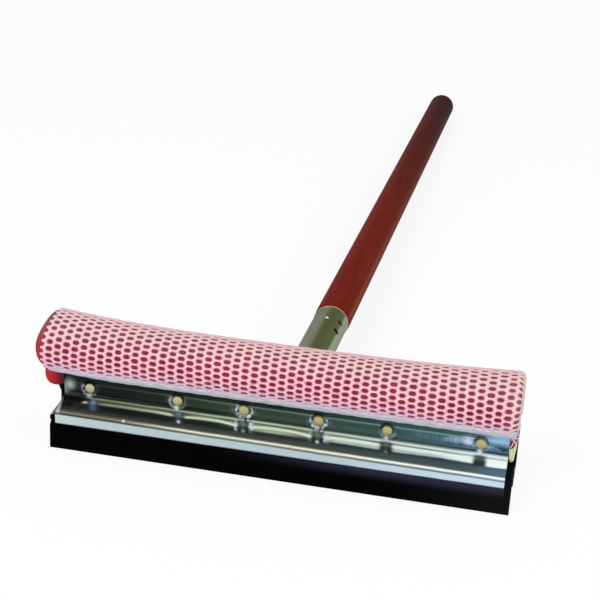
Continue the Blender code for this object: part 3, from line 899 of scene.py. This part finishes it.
class Plating(Finish):
    """Bright plate, whose colour is painted along the sheet's path with the reflections and
    highlights that the light makes on it: a pale lip, a thin gold highlight on the fold, a dark
    shelf, a bright band and line at the crease, and a dark green flange with one pale line.
    Left and right ends differ. The run along the path and x along the head are in millimetres,
    and fold is a run that follows the slight slant of the fold's lines."""

    def __init__(self, name):
        super().__init__(name)
        self.x = self.place(0) * 1000.0
        self.run = self.layer("run") + (self.noise((60.0, 5.0, 5.0), 2.0) - 0.5) * 0.5
        self.fold = self.run + self.x * 0.0077
        self.left = self.x.fall(-100.0, -8.0)
        self.right = self.x.rise(-10.0, 112.0)
        self.end = self.x.rise(84.0, 106.0)
        self.cloud = self.noise((22.0, 60.0, 90.0))
        self.streak = self.noise((25.0, 500.0, 500.0))
        self.crumb = self.noise(620.0, 1.0).rise(0.42, 0.56)
        # bar: where a rivet's painted reflection lies; gap: the painted dark gap in the crease line
        self.bar = self.layer("bar")
        self.gap = self.layer("gap") * (1.0 - self.crumb)

    def three(self, to_left, middle, to_right):
        """A colour that goes from one at the left over another to a third at the right."""
        return self.coats(middle, (to_left, self.left), (to_right, self.right))

    def shelf(self):
        """The shelf's painted reflections: grey at the fold, then dark, and streaked towards the crown.
        """
        x, run = self.x, self.run
        strip = self.noise((36.0, 900.0, 900.0), 2.0, turn=(0.0, 0.0, 0.06))
        low = self.three((66, 71, 60), (78, 90, 76), (84, 104, 108))
        low = self.mix(low, (96, 130, 152), x.rise(104.0, 121.0))
        top = self.coats(
            self.three((40, 52, 26), (112, 128, 100), (96, 114, 104)),
            ((166, 186, 186), x.rise(88.0, 120.0)),
            ((22, 30, 20), strip.rise(0.46, 0.62) * (0.75 - 0.45 * self.right)),
        )
        return self.coats(
            low,
            (self.three((38, 46, 45), (42, 60, 50), (60, 92, 102)), run.rise(10.2, 12.8)),
            (top, run.rise(15.0, band_at) * x.rise(-118.0, -106.0)),
        )

    def flange(self):
        """The flange's painted reflections: dark, blue-grey and blotched to the right, darker above its
        one pale line.
        """
        x, run, end, cloud = self.x, self.run, self.end, self.cloud
        blot = self.noise((150.0, 150.0, 260.0), 2.0)
        comb = self.noise((420.0, 8.0, 30.0), 2.0).rise(0.34, 0.6)
        lower = self.coats(
            self.three((20, 26, 22), (50, 66, 52), (58, 86, 88)),
            (self.three((36, 43, 38), (82, 102, 84), (93, 126, 138)), run.line(25.5, 1.2)),
            ((112, 150, 172), end * cloud.rise(0.35, 0.65) * run.line(28.5, 5.0)),
            ((34, 50, 82), end * blot.rise(0.47, 0.55) * run.line(26.6, 1.8) * 0.9),
            ((186, 212, 236), end * blot.rise(0.5, 0.4) * run.line(28.3, 1.6) * 0.8),
            ((96, 132, 142), x.line(84.0, 14.0) * run.line(28.2, 1.9) * comb * 0.6),
            ((158, 192, 230), x.line(98.5, 4.2) * run.line(28.9, 2.0) * (0.45 + 0.55 * comb)),
        )
        upper = self.three((22, 27, 25), (26, 38, 31), (52, 84, 86))
        upper = self.mix(upper, (132, 176, 202), x.rise(106.0, 123.0))
        pale = self.three((46, 52, 46), (96, 110, 94), (108, 148, 142))
        pale = self.mix(pale, (150, 192, 224), x.rise(98.0, 116.0))
        return self.coats(
            lower,
            (upper, run.rise(pale_at, 31.8)),
            (pale, run.line(pale_at, 0.55) + run.line(31.0, 1.6) * x.rise(110.0, 122.0) * 0.6),
            ((156, 172, 166), x.line(-123.6, 2.7) * run.line(28.9, 3.0)),
            ((128, 146, 142), x.line(-126.2, 1.3) * run.line(27.0, 3.6) * 0.8),
            ((206, 216, 244), x.line(104.6, 2.6) * run.line(28.6, 2.6) * cloud.rise(0.2, 0.4)),
        )

    def band(self):
        """The painted highlight of the bright band on the crown: its colour and its share. It
        sags near the rivets, has a second peak in the middle and fills down the shelf towards
        the right."""
        x, run, right, end = self.x, self.run, self.right, self.end
        sag = self.layer("sag")
        bright = self.coats(
            (118, 134, 100),
            ((212, 226, 200), x.rise(-108.0, -30.0)),
            ((236, 250, 248), right),
            ((236, 244, 204), sag * 0.7),
        )
        peak = (run + sag * 2.2).line(band_at - right * 0.5, 1.2)
        step = run.rise(15.0, 16.0) * run.fall(17.5, 18.5)
        second = x.line(-2.0, 19.0) * (run.line(14.9, 1.1) * 0.66 + step * 0.35)
        fill_low = 14.4 - right * 1.5 + (self.cloud - 0.45) * 5.0 * x.rise(50.0, 90.0)
        fill = (run - fill_low).rise(-0.8, 0.8) * run.fall(17.9, 19.3) * x.rise(14.0, 36.0)
        fill = fill * (0.66 + 0.34 * end)
        share = (peak + second + fill).capped() * x.rise(-112.0, -98.0)
        return bright, (share * (0.88 + 0.24 * self.streak) * (1.0 - self.bar)).capped()

    def crease_line(self):
        """The painted highlight of the line at the crease: its colour and its share."""
        right = self.right
        share = self.run.line(crease_at - right * 0.65, 0.5 + right * 0.4)
        share = share * self.x.rise(-116.0, -108.0) * (1.0 - self.gap)
        return self.three((124, 136, 106), (184, 196, 178), (226, 240, 240)), share

    def over_crease(self):
        """Painted dark and dull reflection lines just above the crease line, towards both ends."""
        x, run = self.x, self.run
        dull = run.line(24.0, 0.5) * x.fall(-84.0, -48.0)
        dull = dull + run.line(24.0, 0.8) * x.line(-123.0, 5.0) * 0.9
        return (
            ((26, 36, 52), run.line(23.6, 0.6) * self.end * 0.85),
            ((100, 110, 98), dull.capped() * 0.8),
        )

    def rivet_painted_reflections(self):
        """The rivets' painted reflections in the shelf and the painted dark gap in the crease line, under
        their painted glints and sparks.
        """
        around = self.three((58, 80, 100), (18, 26, 38), (34, 46, 56))
        core = self.three((98, 130, 158), (94, 114, 92), (78, 98, 86))
        return (
            (around, self.bar * 0.92),
            (core, self.layer("core") * (0.55 + 0.7 * self.streak).capped()),
            ((10, 14, 20), self.gap * 0.85),
        )

    def left_painted_reflections(self):
        """Dull painted reflections on the shelf near its left end."""
        x, run = self.x, self.run
        return (
            ((74, 62, 70), x.line(-116.8, 2.6) * run.line(14.5, 4.0) * 0.7),
            ((14, 20, 26), x.line(-121.8, 2.6) * run.line(15.5, 4.5) * 0.9),
            ((66, 72, 46), x.line(-116.0, 6.0) * run.line(20.6, 0.8) * 0.8),
        )

    def painted_fold_highlight(self):
        """The colour of the painted highlight on the fold."""
        gold = self.mix((118, 116, 98), (222, 222, 200), self.x.rise(-98.0, -46.0))
        return self.mix(gold, (240, 246, 248), self.right)

    def lip(self):
        """Pale with painted reflection, and dark over the lowest 0.9 mm at its foot."""
        lip = self.mix((174, 193, 198), (192, 212, 232), self.x.rise(20.0, 125.0))
        lip = self.mix(lip, (184, 200, 203), self.x.fall(-124.0, -104.0))
        return self.mix((70, 80, 84), lip, self.run.rise(0.0, 0.9))

    def paint(self):
        """Lays the painted reflections, highlights and shade lines over each other. Where one is
        bright the normal leans up and to the front, and the plate is less metallic, so that its
        colour shows as written."""
        x, run, fold, crumb = self.x, self.run, self.fold, self.crumb
        band, band_share = self.band()
        line, line_share = self.crease_line()
        ring = self.layer("ring") * (0.12 + crumb)
        glints = (ring + self.layer("rim") * (0.3 + 0.7 * crumb)).capped()
        spark = (self.layer("drop") + self.layer("gleam")).capped()
        left_glint = x.line(-113.2, 1.5) * run.line(17.8, 1.3)
        gold_share = fold.line(gold_at, 0.8)
        lip_share = fold.fall(4.5, 5.2)
        # crease: the colour of a line of painted shade just under the fold
        crease = self.mix((64, 70, 54), (112, 122, 108), x.rise(-100.0, -10.0))
        # tip: a painted pale reflection along the plate's left end
        tip = (x + run * 0.16).fall(-123.9, -123.1) * run.rise(6.2, 7.4) * run.fall(20.0, 21.5)
        # beyond: the back plate's front past the front plate's ends, painted dark as shade
        beyond = abs(x).rise(127.1, 127.5) * self.place(1, "Normal").fall(-0.2, 0.2)
        self.set("Base Color", self.coats(
            self.shelf(),
            (self.flange(), run.rise(flange_from, 23.0)),
            (band, band_share),
            (line, line_share),
            *self.over_crease(),
            *self.rivet_painted_reflections(),
            # painted highlights round the rivets and on the rims of their reflections
            ((208, 218, 236), glints),
            # painted highlights under the rivets and at the foot of their reflections
            ((232, 236, 224), spark),
            *self.left_painted_reflections(),
            # a painted highlight near the shelf's left end
            ((196, 194, 148), left_glint * 0.9),
            # a painted dull edge above the fold's highlight
            ((112, 108, 90), fold.line(8.0, 0.8) * 0.6),
            (self.painted_fold_highlight(), gold_share),
            # a painted glint on the fold
            ((244, 244, 236), x.line(-87.0, 0.7) * fold.line(6.8, 1.0)),
            (self.lip(), lip_share),
            # painted shade in a line under the fold
            (crease, fold.line(5.35, 0.5) * (1.0 - 0.8 * self.end)),
            # the painted pale reflection along the left end
            ((176, 184, 182), tip * 0.9),
            # painted shade on the back plate past the front plate's ends
            ((18, 23, 18), beyond),
        ))
        crown = run.rise(15.5, 18.0) * run.fall(22.2, 22.8) * x.rise(-118.0, -106.0)
        tilt = band_share + line_share + gold_share + glints + spark + left_glint + crown
        tilt = tilt.capped() * (1.0 - beyond)
        shine = (tilt + lip_share * (1.0 - beyond) + tip).capped()
        matt = run.rise(6.0, 8.0) * run.fall(17.0, 19.0)
        smear = self.noise((30.0, 400.0, 400.0), 4.0)
        self.set("Metallic", (0.9 - 0.4 * shine) * (1.0 - 0.35 * matt))
        self.set("Roughness", 0.13 + 0.14 * smear.rise(0.45, 0.8) + 0.22 * matt)
        self.bump(smear, 0.02 * mm, 0.25, self.lean((0.0, -0.82, 0.57), tilt))


def bright_plate():
    """The finish of both plates."""
    plate = Plating("bright_plate")
    plate.paint()
    return plate


def dull_socket_steel():
    """Steel painted with its olive grey reflections: greyer to the left of its top, pale at the
    right, with a faint pale line and a teal patch near the top and a painted highlight on
    its warm rim.
    """
    tint = (0.35, 0.36, 0.3, 1.0)
    steel = Finish("dull_socket_steel", Specular_IOR_Level=0.1, Specular_Tint=tint, Metallic=0.85)
    along = steel.place(1) * 1000.0
    turn = steel.turned() + (steel.noise((90.0, 12.0, 90.0)) - 0.5) * 0.22
    scuff = steel.noise((700.0, 40.0, 700.0), 4.0)
    steel.set("Base Color", steel.coats(
        # painted reflections round the tube, by the turn from its top
        (104, 109, 84),
        ((90, 95, 66), turn.line(0.3, 0.4)),
        ((141, 144, 134), turn.fall(-0.34, -0.06)),
        ((164, 172, 148), turn.line(-0.12, 0.1) * 0.3),
        ((170, 178, 156), turn.rise(0.88, 1.06)),
        ((112, 134, 116), along.line(151.0, 4.5) * turn.line(-0.55, 0.5) * 0.8),
        # a painted highlight on the rim of the mouth
        ((196, 172, 150), along.rise(156.5, 157.0)),
        ((120, 126, 104), along.fall(22.0, 23.5)),
    ))
    steel.set("Roughness", 0.3 + 0.2 * scuff.rise(0.4, 0.75))
    steel.bump(scuff, 0.03 * mm, 0.3)
    return steel


def rivet_plate():
    """Pale brass, darker in its pits and warmer towards the right."""
    brass = Finish("rivet_plate", Metallic=0.35)
    speck = brass.noise(1400.0, 4.0)
    brass.set("Base Color", brass.coats(
        (212, 210, 156),
        ((210, 192, 124), brass.place(0).rise(-0.07, 0.01)),
        ((150, 140, 96), speck.rise(0.58, 0.8) * 0.5),
    ))
    brass.set("Roughness", 0.38 + 0.2 * speck)
    brass.bump(speck, 0.03 * mm, 0.4)
    return brass


def black_rubber():
    """Black, a little lighter towards the right, with a painted grey sheen of reflected light under the
    lip that grows towards the right.
    """
    rubber = Finish("black_rubber", Specular_IOR_Level=0.012)
    x, z = rubber.place(0), rubber.place(2)
    grain = rubber.noise((900.0, 900.0, 225.0), 4.0)
    wipe = rubber.noise((12.0, 12.0, 240.0))
    sheen = z.rise(0.009, 0.0162) * x.rise(-0.04, 0.075)
    sheen = sheen * z.fall(0.0168, 0.0174) * x.fall(0.1268, 0.1276)
    rubber.set("Base Color", rubber.coats(
        (2, 2, 3),
        ((14, 15, 17), x.rise(0.06, 0.127)),
        # a painted sheen of reflected light under the lip
        ((42, 44, 58), sheen),
        ((20, 20, 22), wipe.rise(0.55, 0.8) * 0.12),
    ))
    rubber.set("Roughness", 0.42 + 0.2 * wipe)
    rubber.bump(grain, 0.04 * mm, 0.35)
    return rubber


def red_foam():
    """Red foam: darkened by painted shade where the net covers it, paler with painted light over
    its top and below its front, paler at its right end, and its own bright red at its bare ends
    and lobes, darkened there by painted shade towards the flap and paler with painted light
    over the ends' tops."""
    foam = Finish("red_foam", Specular_IOR_Level=0.15, Roughness=0.95)
    x, z = foam.place(0), foam.place(2)
    cells = foam.pores(1150.0)
    small = foam.noise(1900.0, 3.0, 0.6)
    patch = foam.noise(45.0, 2.0)
    bare = x.fall(-0.1313, -0.1293) + abs(x).rise(0.126, 0.128) * z.fall(0.047, 0.050)
    # rim: the bare ends' red, paler with painted light over their tops
    rim = foam.mix((158, 44, 50), (142, 82, 76), z.rise(0.066, 0.080))
    # red: the bare red, darkened by painted shade towards the flap
    red = foam.mix((176, 40, 48), (134, 30, 52), x.rise(-0.133, -0.1245))
    red = foam.mix(red, rim, z.rise(0.050, 0.053))
    foam.set("Base Color", foam.coats(
        # the red darkened by painted shade where it shows through the net
        (124, 38, 60),
        ((142, 44, 66), patch.rise(0.35, 0.65)),
        # painted light over the top
        ((140, 78, 86), z.rise(0.066, 0.080) * 0.75),
        # painted light below the front
        ((168, 118, 140), z.fall(0.051, 0.061) * 0.8),
        ((146, 98, 104), x.rise(0.121, 0.1295) * z.rise(0.050, 0.055) * 0.7),
        (red, bare.capped()),
        ((196, 36, 44), x.rise(0.1303, 0.1307) * z.rise(0.0475, 0.0505)),
        ((88, 12, 24), cells.fall(0.1, 0.5) * 0.4),
    ))
    foam.bump(cells + small * 0.5, 0.25 * mm, 0.7)
    return foam


def net_strand():
    """Pink yarn, twisted, deepened by painted shade towards the holes, duller with painted shade
    below and over the top, and duller at its right end."""
    strand = Finish("net_strand", Specular_IOR_Level=0.25)
    across = strand.layer("across")
    height = strand.place(2)
    twist = strand.noise(700.0, 2.0)
    yarn = ((across * 26.0 + twist * 5.0).math("SINE") + 1.0) * 0.5
    fuzz = strand.noise(3200.0, 2.0)
    tint = strand.noise(520.0, 2.0)
    strand.set("Base Color", strand.coats(
        (247, 200, 210),
        # painted shade on the strands' flanks
        ((212, 120, 145), across.rise(0.1, 0.8)),
        ((204, 168, 174), yarn * 0.3),
        ((176, 140, 146), tint.rise(0.5, 0.68) * 0.6),
        # painted shade below
        ((206, 184, 206), height.fall(0.0505, 0.0615) * 0.85),
        ((208, 190, 186), strand.place(0).rise(0.1268, 0.1318) * 0.85),
        # painted shade over the top
        ((218, 190, 186), height.rise(0.064, 0.080) * 0.66),
    ))
    strand.set("Roughness", 0.5 + 0.2 * fuzz)
    strand.bump(yarn + fuzz * 0.4, 0.08 * mm, 0.6)
    return strand


def net_hem():
    """Ribbed net, painted grey as the shade under the roll, pinker at its left end."""
    hem = Finish("net_hem", Specular_IOR_Level=0.25, Roughness=0.6)
    rib = hem.noise((160.0, 1500.0, 1500.0))
    loops = hem.noise((520.0, 900.0, 900.0))
    hem.set("Base Color", hem.coats(
        # pale net greyed by painted shade
        (200, 201, 212),
        ((160, 163, 174), rib.rise(0.42, 0.7)),
        ((206, 186, 204), loops.rise(0.5, 0.7) * 0.5),
        ((208, 176, 196), hem.place(0).fall(-0.128, -0.117) * 0.8),
    ))
    hem.bump(rib + loops, 0.12 * mm, 0.8)
    return hem


def cream_net():
    """Cream yarn with darker strands."""
    cream = Finish("gathered_net", Specular_IOR_Level=0.3, Roughness=0.6)
    yarn = cream.noise((900.0, 900.0, 160.0))
    cream.set("Base Color", cream.mix((224, 224, 176), (160, 150, 110), yarn.rise(0.45, 0.75) * 0.6))
    cream.bump(yarn, 0.12 * mm, 0.8)
    return cream


def stained_wood():
    """Red-brown stain, darker towards the far end, with figure, grain and pores that run along
    the handle, painted highlights on the figure left of its top and down its left and right
    edges, and painted shade inside the socket."""
    wood = Finish("stained_wood", Specular_IOR_Level=0.002, Roughness=0.4)
    level = (-float(axis_slope), 0.0, 0.0)
    grain = wood.noise((420.0, 9.0, 420.0), 5.0, 0.6, level)
    figure = wood.noise((60.0, 2.4, 60.0), turn=level)
    pore = wood.noise((1500.0, 45.0, 1500.0), 2.0, turn=level)
    along = wood.place(1)
    far = along.rise(0.16, 0.8)
    turn = wood.turned()
    wood.set("Base Color", wood.coats(
        (112, 34, 22),
        # darker towards the far end
        ((50, 30, 26), far),
        # a painted highlight on the figure left of the top
        ((124, 33, 24), figure.rise(0.4, 0.6) * turn.line(-0.35, 0.5) * (0.8 - 0.6 * far)),
        # a painted highlight down the left edge
        ((120, 78, 50), turn.line(-1.25, 0.22) * 0.35),
        ((66, 26, 19), grain.rise(0.48, 0.72) * 0.5),
        ((36, 16, 12), pore.rise(0.62, 0.74) * 0.45),
        # a painted highlight down the right edge
        ((150, 92, 72), turn.line(1.3, 0.14) * (0.3 - 0.3 * far)),
        # painted shade inside the socket
        ((14, 9, 8), along.fall(0.1565, 0.1575)),
    ))
    wood.bump(grain + pore * 0.5, 0.06 * mm, 0.35)
    return wood


def nail_steel():
    """Pale steel with duller specks."""
    steel = Finish("nail_steel", Metallic=0.7)
    speck = steel.noise(1500.0)
    steel.set("Base Color", steel.mix((226, 226, 206), (120, 124, 104), speck.rise(0.5, 0.8)))
    steel.set("Roughness", 0.25 + 0.2 * speck)
    return steel


def dress_plates():
    """The two plates and the rubber strip, each a bent path carried along the head."""
    plated = bright_plate()
    front = pressed_sheet("pressed_front_plate", [
        (lip_front, lip_bottom, 0),
        (lip_front, fold_height, 0.9 * mm),
        (*crown_spot, 14.0 * mm),
        (flange_front, crease_height, 2.0 * mm),
        (flange_front, flange_top, 0),
    ], front_plate_half, plated, gauge, seat_depth)
    back = pressed_sheet("pressed_back_plate", [
        (1.4 * mm, lip_bottom, 0),
        (1.4 * mm, 19.5 * mm, 0.9 * mm),
        (back_plate_front, 20.2 * mm, 2.0 * mm),
        (back_plate_front, flange_top, 0),
    ], back_plate_half, plated, gauge)
    blade = pressed_sheet("blade_strip", [
        (-1.1 * mm, 0, 0),
        (-1.1 * mm, 22.0 * mm, 2.6 * mm),
        (16.9 * mm, 22.7 * mm, 0.9 * mm),
        (16.9 * mm, 41.5 * mm, 0),
    ], blade_half, black_rubber(), 2.2 * mm, 0.0, 0.2 * mm, np.array([
        (0.0, 0.0), (14, 0.2), (20, 1.5), (25, 3.4), (38, 3.0), (40.8, 1.9), (47.2, -1.2), (51.5, -3.0)
    ]) * mm)
    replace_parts(front, "front_plate")
    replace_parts(back, "back_plate")
    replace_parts(blade, "rubber_blade")


def dress_sponge():
    """The foam in two pieces, and the net sleeve over it in five."""
    foam, strand, hem = red_foam(), net_strand(), net_hem()
    roll = foam_roll(foam)
    tail = foam_tail(foam)
    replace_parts(roll, "sponge")
    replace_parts(tail, "sponge")
    weave = net_weave(strand)
    under_holes = 0.13
    going = [
        net_selvage("front_selvage", net_start - under_holes, hem_start, -1, hem),
        net_selvage("back_selvage", net_stop + under_holes, hem_stop, 1, hem),
        lobe_strands(strand),
        gathered_net(cream_net()),
    ]
    for made in (weave, *going):
        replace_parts(made, "net_sleeve")


def dress_handle():
    """The rivets, the socket, its nail and the handle."""
    brass = rivet_plate()
    for number, x in enumerate(rivet_places, start=1):
        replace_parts(set_rivet(number, float(x), brass), f"rivet_{number}")
    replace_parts(rolled_socket(dull_socket_steel()), "handle_socket")
    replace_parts(nail_body("set_nail", 0.8 * mm, 1.1 * mm, nail_steel()), "socket_nail")
    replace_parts(turned_handle(stained_wood()), "handle")


def set_floor():
    """A pale floor that looks white to the camera and keeps a soft shadow."""
    finish = Finish("floor", Roughness=0.9, Specular_IOR_Level=0.0)
    finish.set("Base Color", (0.9, 0.9, 0.9, 1.0))
    glow = finish.node("Emission", {"Color": (1.0, 1.0, 1.0, 1.0), "Strength": 1.0})
    plain = Term(finish, finish.shader.outputs[0])
    both = finish.node("MixShader", {0: finish.straight() * floor_glow, 1: plain, 2: glow})
    finish.feed(finish.tree.nodes["Material Output"].inputs["Surface"], both)
    corners = [(x * floor_half, y * floor_half, 0) for x, y in ((-1, -1), (1, -1), (1, 1), (-1, 1))]
    mesh = bpy.data.meshes.new("floor")
    mesh.from_pydata(corners, [], [(0, 1, 2, 3)])
    mesh.materials.append(finish.material)
    placed("floor", mesh)


def set_light():
    """A pale room that looks white to the camera, and soft lamps."""
    room = bpy.data.worlds.new("room")
    bpy.context.scene.world = room
    room.use_nodes = True
    nodes = Nodes(room.node_tree)
    sky = room.node_tree.nodes["Background"]
    nodes.feed(sky.inputs["Color"], (1.0, 1.0, 1.0, 1.0))
    nodes.feed(sky.inputs["Strength"], nodes.straight() * (1.0 - room_level) + room_level)
    for name, spot, aim, size, power in lamps:
        lamp = bpy.data.lights.new(name, "AREA")
        lamp.shape = "DISK"
        lamp.size = size
        lamp.energy = power
        holder = placed(name, lamp)
        holder.location = spot
        holder.rotation_euler = (Vector(spot) - Vector(aim)).to_track_quat("Z", "Y").to_euler()
        holder.visible_glossy = False


def set_camera():
    """The photograph's view: 600 x 600, about 10 degrees to the right and 23 down."""
    data = bpy.data.cameras.new("camera")
    data.sensor_width = 36.0
    data.lens = 85.78
    data.shift_x = -0.0343
    data.shift_y = -0.0231
    data.clip_end = 60.0
    camera = placed("camera", data)
    turn = Euler(camera_turn).to_matrix().to_4x4()
    camera.matrix_world = Matrix.Translation(camera_place) @ turn
    bpy.context.scene.camera = camera


set_camera()
set_floor()
set_light()
dress_plates()
dress_sponge()
dress_handle()

bpy.context.scene.view_settings.view_transform = "Standard"
